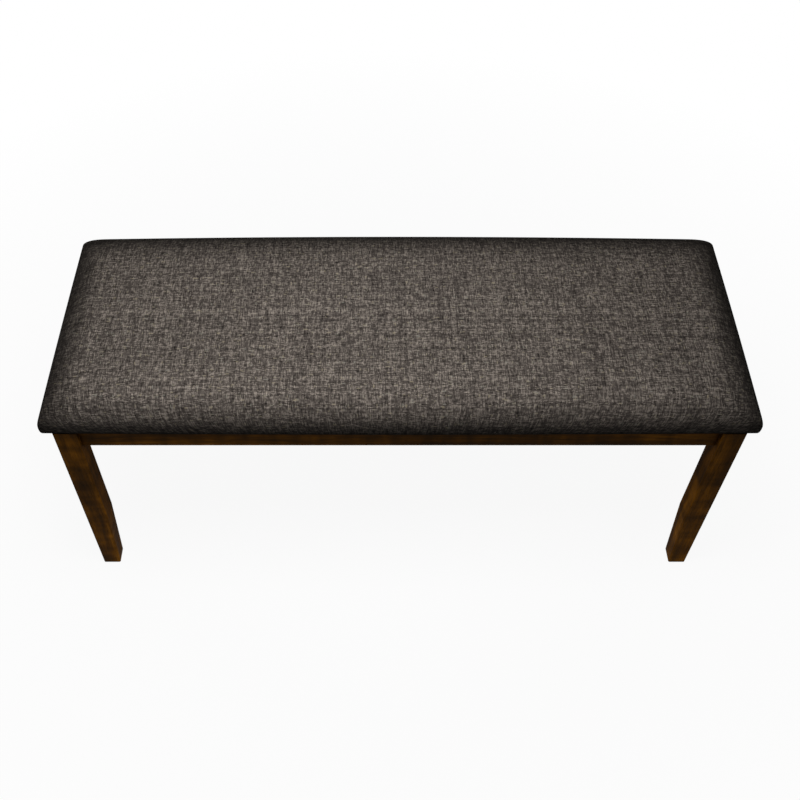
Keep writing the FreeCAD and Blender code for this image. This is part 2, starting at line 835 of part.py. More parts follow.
def make_seat():
    cover = size.cover_thickness.number
    layers = cover + size.wadding_thickness.number
    bottom = cover_bottom.number
    board_level = board_bottom.number

    cover_staples, dust_staples = make_staples()
    board_margin = (
        size.cover_thickness + size.wadding_thickness + size.side_bow + size.board_gap
    )
    board_round = size.corner_round - board_margin + size.side_bow
    board = make_rounded_sheet(
        "SeatBoardBlank", board_margin, board_bottom, size.board_thickness, board_round
    )
    pilot_radius = size.seat_screw_radius + size.fit_gap
    pilot_depth = screw_end - board_bottom + size.fit_gap
    for across, up, level in seat_screw_places():
        cut_bore(board, pilot_radius, pilot_depth, (across, up, board_bottom), UPRIGHT)
    cut_from(board, (cover_staples, dust_staples), "seat_board")

    foam = add_shape("foam_pad", pad_shape(layers, board_top.number))
    register(foam, "foam_pad")
    wadding = pad_shape(cover, board_level).cut(pad_shape(layers, board_level - layers))
    register(add_shape("wadding", wadding.Solids[0]), "wadding")

    shell = pad_shape(0.0, bottom).cut(pad_shape(cover, board_level))
    open_x = size.seat_length.number / 2 - size.cover_return.number
    open_y = size.seat_depth.number / 2 - size.cover_return.number
    corner = Vector(-open_x, -open_y, bottom - cover)
    shell = shell.cut(Part.makeBox(2 * open_x, 2 * open_y, 3 * cover, corner))
    fabric = add_shape("FabricShell", shell.Solids[0])
    cut_from(fabric, (cover_staples, dust_staples), "seat_cover")

    cloth = make_rounded_sheet(
        "DustClothBlank",
        size.dust_cover_margin,
        size.frame_top,
        size.dust_cover_thickness,
        size.corner_round / 2,
    )
    for across, up, level in seat_screw_places():
        start = (across, up, size.frame_top)
        cut_bore(cloth, pilot_radius, size.dust_cover_thickness, start, UPRIGHT)
    cut_from(cloth, (dust_staples,), "dust_cover")


# Checks and files

def check_document():
    for item in doc.Objects:
        if "Invalid" in item.State or "Error" in item.State:
            raise RuntimeError(f"{item.Label} failed: {item.State}")
    for piece in parts:
        if piece.Shape.isNull() or not piece.Shape.isValid():
            raise RuntimeError(f"{piece.Label} has no valid shape")
    labels = [piece.Label for piece in parts]
    if len(set(labels)) != len(labels):
        raise RuntimeError("two pieces share a label")


def write_parts():
    os.makedirs("parts", exist_ok=True)
    for piece in parts:
        piece.Shape.exportStep(f"parts/{piece.Label}.step")
        box = piece.Shape.BoundBox
        print(
            f"{piece.Label}: {len(piece.Shape.Solids)} solid(s), {piece.Shape.Volume:.0f} mm3, "
            f"x {box.XMin:.1f} to {box.XMax:.1f}, y {box.YMin:.1f} to {box.YMax:.1f}, "
            f"z {box.ZMin:.1f} to {box.ZMax:.1f}"
        )


make_leg()
make_long_aprons()
make_short_aprons()
make_cross_rails()
make_corner_blocks()
make_foot_glides()
make_dowels()
make_hanger_bolts()
make_block_screws()
make_seat_screws()
make_seat()
doc.recompute()
check_document()
write_parts()
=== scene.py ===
import math

import bmesh
import bpy
import numpy as np
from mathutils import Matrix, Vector


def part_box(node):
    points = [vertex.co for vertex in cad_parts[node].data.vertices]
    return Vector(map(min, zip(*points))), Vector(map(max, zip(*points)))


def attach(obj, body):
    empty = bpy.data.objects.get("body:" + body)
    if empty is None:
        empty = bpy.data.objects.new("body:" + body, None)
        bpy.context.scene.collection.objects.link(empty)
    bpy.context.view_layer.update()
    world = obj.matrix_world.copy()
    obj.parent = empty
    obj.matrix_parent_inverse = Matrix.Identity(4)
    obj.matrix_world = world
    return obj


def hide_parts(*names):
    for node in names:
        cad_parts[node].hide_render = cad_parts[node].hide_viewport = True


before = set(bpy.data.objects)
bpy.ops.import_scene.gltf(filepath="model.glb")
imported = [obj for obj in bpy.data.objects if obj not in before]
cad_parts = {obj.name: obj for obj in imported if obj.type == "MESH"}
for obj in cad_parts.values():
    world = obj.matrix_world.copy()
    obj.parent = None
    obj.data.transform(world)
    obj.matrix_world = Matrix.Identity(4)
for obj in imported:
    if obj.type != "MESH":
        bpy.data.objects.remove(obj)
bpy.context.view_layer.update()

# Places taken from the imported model. All lengths are in metres.
COVER_LOW, COVER_HIGH = (Vector(corner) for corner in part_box("seat_cover"))
BOARD_LOW, BOARD_HIGH = (Vector(corner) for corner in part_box("seat_board"))
CLOTH_LOW, CLOTH_HIGH = (Vector(corner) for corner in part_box("dust_cover"))
APRON_HIGH = Vector(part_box("apron_front")[1])
END_APRON_HIGH = Vector(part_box("apron_left")[1])
RAIL_LOW, RAIL_HIGH = (Vector(corner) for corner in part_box("cross_rail_right"))
HALF_LENGTH = COVER_HIGH.x
HALF_DEPTH = COVER_HIGH.y
SEAT_BOTTOM = COVER_LOW.z
SEAT_TOP = COVER_HIGH.z

# Height of the cover's widest level above its bottom, and how far each edge rolls in over it.
WIDEST_HEIGHT = 0.015
END_ROLL = 0.054
FRONT_ROLL = 0.036
REAR_ROLL = 0.052

# How much the crowned top falls from its middle to the ends and to the sides.
END_DROP = 0.006
SIDE_DROP = 0.007

# Corner radius at the widest level and on top.
CORNER_ROUND = 0.005
SHOULDER_ROUND = 0.110

# How much the sides draw in towards the ends, and how much fuller the rear right corner is.
SIDE_BOW = 0.003
RIGHT_FLARE = 0.008

# Soft layers: how far each is drawn in from the cover, and its play over the board.
WADDING_INSET = 0.0028
FOAM_INSET = 0.0068
LAYER_PLAY = 0.0002

# Under the cover's widest level: how far each ring is drawn in, and its height above the bottom.
COVER_TUCK = (
    (0.0002, 0.0082),
    (0.0006, 0.0050),
    (0.0013, 0.0027),
    (0.0024, 0.0013),
    (0.0040, 0.0005),
    (0.0075, 0.0002),
    (0.0150, 0.0002),
    (0.0250, 0.0002),
    (0.0370, 0.0002),
    (0.0376, 0.0009),
)

# Mesh of the seat: cells along and across, steps of half a corner, and rings on the rolled edge.
COVER_CELLS = (170, 64)
LAYER_CELLS = (90, 36)
CORNER_STEPS = 6
COVER_ROLL_STEPS = 12
LAYER_ROLL_STEPS = 6

# Swelling of the cover: it is held below a height, starts a little low, and has a limit.
SIMULATED_FRAMES = 20
PRESSURE = 4.0
HELD_HEIGHT = 0.0045
SWELL_ROOM = 0.0018
SWELL_LIMIT = 0.004

# Studio: light from all round, and how white the floor is near the bench and in reflections.
AMBIENT = 0.08
FLOOR_GLOW = 0.93
MIRRORED_GLOW = 0.08


# Camera

def make_camera():
    """A view from in front and above, as the photograph shows the bench."""
    camera_data = bpy.data.cameras.new("Camera")
    camera = bpy.data.objects.new("Camera", camera_data)
    bpy.context.scene.collection.objects.link(camera)
    pixels = 800
    focal_pixels = 1001.8
    centre_column = 368.0
    tilt_down = 51.38
    camera_data.sensor_width = 36.0
    camera_data.lens = camera_data.sensor_width * focal_pixels / pixels
    camera_data.shift_x = (pixels / 2 - centre_column) / pixels
    camera.location = (-0.0493, -1.1332, 1.6486)
    camera.rotation_euler = (math.radians(90 - tilt_down), 0, 0)
    bpy.context.scene.camera = camera


# Node helpers

class Shader:
    """A material's node tree, with short calls for the nodes used here."""

    def __init__(self, name):
        self.material = bpy.data.materials.new(name)
        self.material.use_nodes = True
        self.tree = self.material.node_tree
        self.surface = self.tree.nodes["Principled BSDF"]
        self.output = self.tree.nodes["Material Output"]

    def node(self, kind, **settings):
        """New node with its settings."""
        node = self.tree.nodes.new(kind)
        for key, value in settings.items():
            setattr(node, key, value)
        return node

    def put(self, socket, value):
        """Link an output to a socket, or set the socket to a value."""
        if isinstance(value, bpy.types.NodeSocket):
            self.tree.links.new(value, socket)
        elif hasattr(value, "__len__") and socket.type == "RGBA" and len(value) == 3:
            socket.default_value = (*value, 1.0)
        else:
            socket.default_value = value

    def math(self, operation, first, second=0.0):
        """Result of one sum on numbers."""
        node = self.node("ShaderNodeMath", operation=operation)
        self.put(node.inputs[0], first)
        self.put(node.inputs[1], second)
        return node.outputs[0]

    def remap(self, value, low, high, to_low=0.0, to_high=1.0, kind="LINEAR"):
        """Move a number from one range to another, and stop at its ends."""
        node = self.node("ShaderNodeMapRange", clamp=True, interpolation_type=kind)
        for socket, entry in zip(node.inputs, (value, low, high, to_low, to_high)):
            self.put(socket, entry)
        return node.outputs[0]

    def blend(self, factor, first, second, mode="MIX"):
        """Mix two colours."""
        node = self.node("ShaderNodeMix", data_type="RGBA", blend_type=mode)
        self.put(node.inputs[0], factor)
        self.put(node.inputs[6], first)
        self.put(node.inputs[7], second)
        return node.outputs[2]

    def shaded(self, colour, tone):
        """A colour made lighter or darker by a number."""
        return self.blend(1.0, colour, self.vector(tone, tone, tone), "MULTIPLY")

    def choose(self, factor, first, second):
        """Mix two numbers."""
        node = self.node("ShaderNodeMix", data_type="FLOAT")
        self.put(node.inputs[0], factor)
        self.put(node.inputs[2], first)
        self.put(node.inputs[3], second)
        return node.outputs[0]

    def weighed(self, *pairs):
        """Sum of values, each times its weight."""
        products = [self.math("MULTIPLY", value, weight) for value, weight in pairs]
        total = products[0]
        for product in products[1:]:
            total = self.math("ADD", total, product)
        return total

    def noise(self, vector, scale, detail=2.0, roughness=0.5, distortion=0.0):
        """Smooth noise of a point."""
        node = self.node("ShaderNodeTexNoise")
        self.put(node.inputs["Vector"], vector)
        node.inputs["Scale"].default_value = scale
        node.inputs["Detail"].default_value = detail
        node.inputs["Roughness"].default_value = roughness
        node.inputs["Distortion"].default_value = distortion
        return node.outputs["Fac"]

    def white(self, vector):
        """Random number of a point."""
        node = self.node("ShaderNodeTexWhiteNoise", noise_dimensions="3D")
        self.put(node.inputs["Vector"], vector)
        return node.outputs["Value"]

    def vector(self, x=0.0, y=0.0, z=0.0):
        node = self.node("ShaderNodeCombineXYZ")
        for socket, value in zip(node.inputs, (x, y, z)):
            self.put(socket, value)
        return node.outputs[0]

    def split(self, vector):
        node = self.node("ShaderNodeSeparateXYZ")
        self.put(node.inputs[0], vector)
        return node.outputs

    def place(self):
        """The point on the piece, in metres."""
        return self.node("ShaderNodeTexCoord").outputs["Object"]

    def scaled(self, vector, scale, offset=(0, 0, 0)):
        """A point scaled, and then moved."""
        node = self.node("ShaderNodeMapping")
        self.put(node.inputs["Vector"], vector)
        node.inputs["Scale"].default_value = scale
        node.inputs["Location"].default_value = offset
        return node.outputs[0]

    def bump(self, height, strength, distance):
        """Relief on the surface, from a height."""
        node = self.node("ShaderNodeBump")
        node.inputs["Strength"].default_value = strength
        node.inputs["Distance"].default_value = distance
        self.put(node.inputs["Height"], height)
        self.put(self.surface.inputs["Normal"], node.outputs[0])
        return node

    def set(self, **values):
        """Set shader inputs by name, with spaces as underscores."""
        for key, value in values.items():
            self.put(self.surface.inputs[key.replace("_", " ")], value)


def linear(red, green, blue):
    """Scene colour of a display colour given as 0 to 255."""
    channels = []
    for value in (red, green, blue):
        value /= 255
        channels.append(value / 12.92 if value <= 0.04045 else ((value + 0.055) / 1.055) ** 2.4)
    return tuple(channels)


# Materials

# Distance from yarn to yarn in the cover.
WARP_PITCH = 0.0013
WEFT_PITCH = 0.0017

# Dark, middle and light tone of each wood.
WALNUT = (linear(66, 39, 2), linear(103, 63, 6), linear(144, 92, 20))
RAW_OAK = (linear(150, 118, 78), linear(184, 150, 106), linear(208, 178, 134))
RAW_BEECH = (linear(176, 138, 98), linear(204, 168, 126), linear(222, 190, 150))


def yarns_passed(shader, uv, run, pitch, offset):
    """How many yarns lie before a point, with a little sway so that none is dead straight."""
    sway = 0.0007
    sways_per_metre = 30.0
    drift = shader.noise(shader.scaled(uv, (1, 1, 1), offset), sways_per_metre, 2.0)
    drift = shader.remap(drift, 0.2, 0.8, -sway, sway)
    return shader.math("DIVIDE", shader.math("ADD", run, drift), pitch)


def yarn_noise(shader, number, run, per_yarn, seed, detail):
    """Noise along one yarn, at a pace for each yarn that it crosses."""
    place = shader.vector(shader.math("MULTIPLY", run, per_yarn), number, seed)
    return shader.noise(place, 1.0, detail)


def yarn_shade(shader, number, run, seed):
    """Each yarn has a shade of its own, and changes along its length both slowly and fast."""
    steady = shader.white(shader.vector(number, seed, 0.0))
    slow = shader.remap(yarn_noise(shader, number, run, 0.11, seed, 1.0), 0.3, 0.7)
    fast = shader.remap(yarn_noise(shader, number, run, 0.25, seed + 3, 1.0), 0.25, 0.75)
    return shader.weighed((slow, 0.42), (fast, 0.42), (steady, 0.16))


def slub_share(shader, number, run, seed):
    """A few short lengths of yarn are thicker and paler than the rest."""
    return shader.remap(yarn_noise(shader, number, run, 0.11, seed, 0.0), 0.70, 0.76, 0.0, 0.55)


def yarn_height(shader, yarns):
    """Rounded height across each yarn."""
    return shader.math("SINE", shader.math("MULTIPLY", shader.math("FRACT", yarns), math.pi))


def cover_painted_shade_and_mottle(shader):
    """Painted shade: the cover is darker over its ends, rear and front, and darkest in the fold at
    its foot; a faint random mottle is the cloth's own.
    """
    darkest_end = 0.25
    darkest_rear = 0.2
    darkest_front = 0.38
    darkest_fold = 0.16
    x, y, z = shader.split(shader.place())
    x = shader.math("ABSOLUTE", x)
    # Painted shade: these ramps darken the cloth where light falls off over the rolled ends, the
    # rear and low on the front, and in the tucked fold under the front edge.
    ends = shader.remap(x, HALF_LENGTH - 0.078, HALF_LENGTH - 0.004, 1.0, darkest_end, "SMOOTHSTEP")
    rear = shader.remap(y, HALF_DEPTH - 0.100, HALF_DEPTH - 0.030, 1.0, darkest_rear)
    front = shader.remap(z, SEAT_BOTTOM + 0.011, SEAT_BOTTOM + 0.060, darkest_front, 1.0)
    fold = shader.remap(z, SEAT_BOTTOM, SEAT_BOTTOM + 0.0115, darkest_fold, 1.0)
    cloud = shader.remap(shader.noise(shader.place(), 9.0, 3.0), 0.3, 0.7, 0.96, 1.04)
    tone = shader.math("MINIMUM", shader.math("MINIMUM", ends, rear), front)
    return shader.math("MULTIPLY", shader.math("MULTIPLY", tone, fold), cloud)


def fabric_material():
    """Heathered linen-look plain weave: warp and weft yarns with their own shade and slubs."""
    shader = Shader("heathered_weave")
    uv = shader.node("ShaderNodeUVMap", uv_map="threads").outputs[0]
    across, along, _ = shader.split(uv)
    across = yarns_passed(shader, uv, across, WARP_PITCH, (0.0, 0.0, 0.0))
    along = yarns_passed(shader, uv, along, WEFT_PITCH, (3.7, 1.9, 0.0))
    warp = shader.math("FLOOR", across)
    weft = shader.math("FLOOR", along)
    weft_on_top = shader.math("ABSOLUTE", shader.math("MODULO", shader.math("ADD", warp, weft), 2.0))

    seen_weft = shader.remap(weft_on_top, 0.0, 1.0, 0.36, 0.64)
    warp_shade = yarn_shade(shader, warp, along, 1.7)
    weft_shade = yarn_shade(shader, weft, across, 8.3)
    speck = shader.white(shader.vector(warp, weft, 5.5))
    speck = shader.remap(speck, 0.0, 1.0, -0.05, 0.05)
    shade = shader.math("ADD", shader.choose(seen_weft, warp_shade, weft_shade), speck)
    relief = shader.choose(weft_on_top, yarn_height(shader, across), yarn_height(shader, along))

    warp_slub = slub_share(shader, warp, along, 4.1)
    weft_slub = slub_share(shader, weft, across, 6.3)
    slub = shader.math("MAXIMUM", warp_slub, weft_slub)
    tint = shader.remap(shader.noise(uv, 150.0, 1.0), 0.4, 0.6)
    fleck = shader.blend(tint, linear(150, 148, 138), linear(170, 158, 132))
    colour = shader.blend(shader.remap(shade, 0.2, 0.5), linear(28, 25, 23), linear(88, 81, 76))
    colour = shader.blend(shader.remap(shade, 0.5, 0.84), colour, linear(172, 161, 150))
    colour = shader.blend(slub, colour, fleck)
    # Painted shade: each yarn is darker down its rounded flanks and in the grooves between yarns, on
    # top of its bump.
    colour = shader.shaded(colour, shader.remap(relief, 0.0, 0.6, 0.72, 1.0))
    # Painted shade over the cover's rolled edges and foot fold, with the cloth's own faint mottle.
    colour = shader.shaded(colour, cover_painted_shade_and_mottle(shader))
    shader.set(
        Base_Color=colour,
        Roughness=0.92,
        Specular_IOR_Level=0.06,
        Sheen_Weight=0.015,
        Sheen_Roughness=0.5,
        Sheen_Tint=linear(190, 180, 168),
    )
    shader.bump(shader.weighed((relief, 1.0), (shade, 0.6)), 0.55, 0.0004)
    return shader.material


def grain_scale(axis, along, across):
    """Scale of a pattern that differs along the grain and across it."""
    scale = [across, across, across]
    scale["XYZ".index(axis)] = along
    return scale


def painted_shade_and_light(shader, colour):
    """Painted shade in hollows and joints, and painted light that makes the wood lighter towards the
    floor.
    """
    painted_crevice_shade = shader.node("ShaderNodeAmbientOcclusion", samples=8)
    painted_crevice_shade.inputs["Distance"].default_value = 0.03
    # Painted shade: darker where other parts close round a point, as in the joint between leg and
    # apron and under the seat.
    colour = shader.shaded(colour, shader.remap(painted_crevice_shade.outputs["AO"], 0.25, 0.8, 0.24, 1.0))
    height = shader.split(shader.place())[2]
    # Painted light: up to 2.4 times lighter near the floor, fading out by 0.26 m up.
    return shader.shaded(colour, shader.remap(height, 0.02, 0.26, 2.4, 1.0))


def corner_share(shader, rounded):
    """How much of a point lies on an edge, from its rounded normal."""
    plain = shader.node("ShaderNodeNewGeometry").outputs["Normal"]
    turn = shader.node("ShaderNodeVectorMath", operation="DOT_PRODUCT")
    shader.put(turn.inputs[0], rounded)
    shader.put(turn.inputs[1], plain)
    return shader.remap(turn.outputs["Value"], 0.80, 0.995, 1.0, 0.0)


def wood_material(name, axis, seed, palette, lacquer_and_painted_shade=True):
    """Stained wood with its grain along an axis: figure, pores, and edges worn lighter; the legs and
    aprons also get painted shade in joints and painted light towards the floor.
    """
    shader = Shader(name)
    scale = grain_scale(axis, 0.085, 1.0)
    place = shader.scaled(shader.place(), scale, (seed * 3.1, seed * 1.7, seed * 2.3))
    figure = shader.noise(place, 26.0, 4.0, 0.55, 0.9)
    grain = shader.noise(place, 210.0, 3.0, 0.6, 0.3)
    pits = shader.remap(shader.noise(place, 900.0, 2.0, 0.5), 0.3, 0.42, 0.55, 1.0)
    blotch = shader.noise(shader.place(), 14.0, 3.0, 0.6)
    scale = grain_scale(axis, 1.0, 0.3)
    place = shader.scaled(shader.place(), scale, (seed * 2.9, seed * 1.3, seed))
    ripple = shader.noise(place, 34.0, 2.0)

    dark, middle, light = palette
    colour = shader.blend(shader.remap(figure, 0.33, 0.52), dark, middle)
    colour = shader.blend(shader.remap(figure, 0.52, 0.72), colour, light)
    colour = shader.shaded(colour, shader.remap(grain, 0.3, 0.7, 0.62, 1.32))
    colour = shader.shaded(colour, shader.remap(blotch, 0.3, 0.7, 0.75, 1.2))
    colour = shader.shaded(colour, shader.remap(ripple, 0.35, 0.65, 0.68, 1.4))
    colour = shader.shaded(colour, pits)

    rounded = shader.node("ShaderNodeBevel", samples=6)
    rounded.inputs["Radius"].default_value = 0.0016
    edge = corner_share(shader, rounded.outputs[0])
    worn = shader.math("MULTIPLY", edge, shader.remap(blotch, 0.35, 0.65, 0.05, 0.3))
    colour = shader.blend(worn, colour, light)
    # The legs and aprons get painted shade in their joints and painted light low down, besides their
    # satin finish.
    if lacquer_and_painted_shade:
        colour = painted_shade_and_light(shader, colour)
        shader.set(Roughness=shader.remap(figure, 0.3, 0.7, 0.46, 0.6))
    else:
        shader.set(Roughness=0.75)
    shader.set(
        Base_Color=colour,
        Specular_IOR_Level=0.07 if lacquer_and_painted_shade else 0.08,
        Specular_Tint=(1.0, 0.62, 0.2),
    )
    bump = shader.bump(shader.weighed((grain, 0.5), (pits, 1.0)), 0.25, 0.0002)
    shader.put(bump.inputs["Normal"], rounded.outputs[0])
    return shader.material


def steel_material():
    """Bright zinc plating with a faint mottle and rub marks."""
    shader = Shader("zinc_steel")
    spangle = shader.noise(shader.place(), 420.0, 2.0)
    rub = shader.noise(shader.scaled(shader.place(), (1, 1, 0.15)), 1600.0, 1.0)
    tone = shader.remap(spangle, 0.3, 0.7)
    shader.set(
        Base_Color=shader.blend(tone, linear(150, 150, 146), linear(196, 196, 190)),
        Metallic=1.0,
        Roughness=shader.remap(rub, 0.3, 0.7, 0.26, 0.44),
    )
    shader.bump(spangle, 0.1, 0.0001)
    return shader.material


def nylon_material():
    """Dark moulded nylon, scuffed on the face that slides on the floor."""
    shader = Shader("nylon_glide")
    speck = shader.noise(shader.place(), 700.0, 3.0)
    scuff = shader.noise(shader.scaled(shader.place(), (1, 0.2, 1)), 500.0, 2.0)
    tone = shader.remap(scuff, 0.45, 0.75)
    shader.set(
        Base_Color=shader.blend(tone, linear(34, 32, 30), linear(74, 71, 67)),
        Roughness=shader.remap(speck, 0.3, 0.7, 0.45, 0.62),
    )
    shader.bump(speck, 0.2, 0.0001)
    return shader.material


def plywood_material():
    """Rotary-cut birch veneer with glue lines along its edge."""
    shader = Shader("birch_ply")
    face = shader.noise(shader.scaled(shader.place(), (0.1, 1, 1)), 60.0, 4.0, 0.6, 1.2)
    height = shader.split(shader.place())[2]
    glue_spacing = 0.0034
    layer = shader.math("SINE", shader.math("MULTIPLY", height, 2 * math.pi / glue_spacing))
    line = shader.remap(layer, -1.0, -0.6, 0.65, 1.0)
    colour = shader.blend(shader.remap(face, 0.3, 0.7), linear(176, 140, 98), linear(214, 184, 142))
    colour = shader.shaded(colour, line)
    shader.set(Base_Color=colour, Roughness=0.8)
    shader.bump(face, 0.2, 0.0003)
    return shader.material


def foam_material():
    """Open-cell seat foam with visible cells."""
    shader = Shader("seat_foam")
    cells = shader.node("ShaderNodeTexVoronoi")
    shader.put(cells.inputs["Vector"], shader.place())
    cells.inputs["Scale"].default_value = 620.0
    size = shader.remap(cells.outputs["Distance"], 0.1, 0.7)
    shader.set(
        Base_Color=shader.blend(size, linear(206, 190, 146), linear(238, 226, 190)),
        Roughness=0.95,
        Specular_IOR_Level=0.1,
    )
    shader.bump(size, 0.6, 0.0006)
    return shader.material


def wadding_material():
    """Loose white polyester fibres."""
    shader = Shader("fibre_wadding")
    fibres = shader.noise(shader.scaled(shader.place(), (1, 0.3, 1)), 500.0, 5.0, 0.7, 2.0)
    tufts = shader.noise(shader.place(), 60.0, 3.0)
    tone = shader.remap(shader.math("ADD", fibres, tufts), 0.7, 1.3)
    shader.set(
        Base_Color=shader.blend(tone, linear(214, 214, 208), linear(246, 246, 242)),
        Roughness=1.0,
        Sheen_Weight=0.3,
    )
    shader.bump(fibres, 0.7, 0.001)
    return shader.material


def dust_cloth_material():
    """Black spunbond cloth with its pattern of small bond points."""
    shader = Shader("spunbond_cloth")
    across, along, _ = shader.split(shader.place())
    bond_spacing = 0.0022
    pace = 2 * math.pi / bond_spacing
    across = shader.math("SINE", shader.math("MULTIPLY", across, pace))
    along = shader.math("SINE", shader.math("MULTIPLY", along, pace))
    pits = shader.remap(shader.math("MULTIPLY", across, along), 0.35, 0.8)
    fibres = shader.noise(shader.place(), 900.0, 4.0, 0.7, 1.5)
    colour = shader.blend(shader.remap(fibres, 0.3, 0.7), linear(26, 26, 28), linear(52, 52, 54))
    colour = shader.blend(pits, colour, linear(18, 18, 19))
    shader.set(Base_Color=colour, Roughness=0.85, Specular_IOR_Level=0.25)
    shader.bump(shader.math("SUBTRACT", fibres, pits), 0.4, 0.0003)
    return shader.material


# Padded seat

class PadForm:
    """The seat's crowned form, drawn in by an inset: a grid on top and rings round it."""

    def __init__(self, inset, cells, roll_steps, lower=0.0):
        self.inset = inset
        self.cells_x, self.cells_y = cells
        self.roll_steps = roll_steps
        self.lower = lower
        self.half_length = HALF_LENGTH - inset
        self.half_depth = HALF_DEPTH - inset
        self.corner = CORNER_ROUND - inset * 0.5
        self.points = []
        self.threads = []
        self.faces = []
        self.middles = (
            self.cells_x // 2,
            self.cells_x + self.cells_y // 2,
            self.cells_x + self.cells_y + self.cells_x // 2,
        )
        self.runs = None

    def top(self, x, y):
        """Level of the crowned top."""
        fall = END_DROP * (x / HALF_LENGTH) ** 2 + SIDE_DROP * (y / HALF_DEPTH) ** 2
        return SEAT_TOP - self.inset - self.lower - fall

    def outline(self, half_x, half_y, corner, shift=0.0):
        """Points round a rectangle with round corners, from its front left corner."""
        points = []
        sides = (
            ((1, 0), (0, -1), half_x, half_y, self.cells_x),
            ((0, 1), (1, 0), half_y, half_x, self.cells_y),
            ((-1, 0), (0, 1), half_x, half_y, self.cells_x),
            ((0, -1), (-1, 0), half_y, half_x, self.cells_y),
        )
        for along, out, half, reach, cells in sides:
            straight = cells - 2 * CORNER_STEPS
            run = 2 * (half - corner)
            places = []
            for index in range(CORNER_STEPS):
                turn = (index / CORNER_STEPS - 1) * math.pi / 4
                places.append((corner - half + corner * math.sin(turn), turn))
            for index in range(straight):
                places.append((corner - half + run * index / straight, 0.0))
            for index in range(CORNER_STEPS):
                turn = index / CORNER_STEPS * math.pi / 4
                places.append((half - corner + corner * math.sin(turn), turn))
            for place, turn in places:
                depth = reach - corner + corner * math.cos(turn)
                points.append(Vector(along) * place + Vector(out) * depth + Vector((0.0, shift)))
        return points

    def place(self, x, y, z):
        """A point with the seat's bowed sides and its fuller right end."""
        bowed = y * (1 - SIDE_BOW / HALF_DEPTH * (x / HALF_LENGTH) ** 2)
        rear_share = (y / HALF_DEPTH + 1) / 2
        fuller = RIGHT_FLARE * max(0.0, x / HALF_LENGTH) ** 4 * max(0.0, rear_share)
        lift = min(1.0, max(0.0, (z - SEAT_BOTTOM) / WIDEST_HEIGHT))
        self.points.append(Vector((x + fuller * lift, bowed, z)))

    def thread(self, spot, reach):
        """Where a point lies on the flat cloth: its threads stay straight over the edges."""
        front, end, rear = (run / part for run, part in zip(self.runs, reach))
        return Vector((spot.x * end, spot.y * (rear if spot.y > 0 else front)))

    def ring_below(self, previous, outline, levels):
        """Join a ring of new points to the one before it."""
        first = len(self.points)
        for spot, level in zip(outline, levels):
            self.place(spot.x, spot.y, level)
        ring = list(range(first, len(self.points)))
        for side, middle in enumerate(self.middles):
            step = self.points[ring[middle]] - self.points[previous[middle]]
            self.runs[side] += step.length
        reach = self.reach(outline)
        self.threads += [self.thread(spot, reach) for spot in outline]
        for index, before in enumerate(previous):
            following = (index + 1) % len(ring)
            self.faces.append((before, ring[index], ring[following], previous[following]))
        return ring

    def reach(self, outline):
        """How far an outline stands from the seat's middle in front, at the end and behind."""
        front, end, rear = (outline[middle] for middle in self.middles)
        return [-front.y, end.x, rear.y]

    def make_top(self, shoulder):
        """Grid of the crowned top, blended from the shoulder's four sides; returns its rim."""
        columns, rows = self.cells_x, self.cells_y
        front = shoulder[:columns + 1]
        right = shoulder[columns:columns + rows + 1]
        rear = shoulder[columns + rows:2 * columns + rows + 1][::-1]
        left = [shoulder[0]] + shoulder[2 * columns + rows:][::-1]
        for column in range(columns + 1):
            u = (front[column].x - front[0].x) / (front[-1].x - front[0].x)
            for row in range(rows + 1):
                v = (left[row].y - left[0].y) / (left[-1].y - left[0].y)
                spot = front[column].lerp(rear[column], v) + left[row].lerp(right[row], u)
                spot -= front[0].lerp(front[-1], u).lerp(rear[0].lerp(rear[-1], u), v)
                self.place(spot.x, spot.y, self.top(spot.x, spot.y))
                self.threads.append(Vector((spot.x, spot.y)))
        for column in range(columns):
            for row in range(rows):
                corner = column * (rows + 1) + row
                self.faces.append((corner, corner + rows + 1, corner + rows + 2, corner + 1))
        rim = [column * (rows + 1) for column in range(columns)]
        rim += [columns * (rows + 1) + row for row in range(rows)]
        rim += [column * (rows + 1) + rows for column in range(columns, 0, -1)]
        rim += [row for row in range(rows, 0, -1)]
        return rim

    def rolled_outline(self, turn):
        """Outline on the rolled edge: no turn is its widest level, a quarter turn its top."""
        share = 1 - math.cos(turn)
        ends = (END_ROLL - self.inset) * share
        front = (FRONT_ROLL - self.inset) * share
        rear = (REAR_ROLL - self.inset) * share
        corner = self.corner + (SHOULDER_ROUND - CORNER_ROUND) * share
        half_depth = self.half_depth - (front + rear) / 2
        return self.outline(self.half_length - ends, half_depth, corner, (front - rear) / 2)

    def make_roll(self):
        """The top, and rings down the rolled edge to its widest level; returns the last ring."""
        outline = self.rolled_outline(math.pi / 2)
        ring = self.make_top(outline)
        self.runs = self.reach(outline)
        widest = SEAT_BOTTOM + WIDEST_HEIGHT
        for step in range(self.roll_steps - 1, -1, -1):
            turn = math.pi / 2 * step / self.roll_steps
            outline = self.rolled_outline(turn)
            rises = [self.top(spot.x, spot.y) - widest for spot in outline]
            levels = [widest + rise * math.sin(turn) for rise in rises]
            ring = self.ring_below(ring, outline, levels)
        return ring

    def build(self, name, tuck):
        """Object of the form: its top and rolled edge, and rings of (inset, level) under it."""
        least_corner = 0.002
        ring = self.make_roll()
        for depth, level in tuck:
            corner = max(self.corner - depth * 0.5, least_corner)
            outline = self.outline(self.half_length - depth, self.half_depth - depth, corner)
            ring = self.ring_below(ring, outline, [level] * len(outline))
        mesh = bpy.data.meshes.new(name)
        mesh.from_pydata([tuple(point) for point in self.points], [], self.faces)
        layer = mesh.uv_layers.new(name="threads")
        for corner in mesh.loops:
            layer.data[corner.index].uv = self.threads[corner.vertex_index]
        return smooth_object(name, mesh)


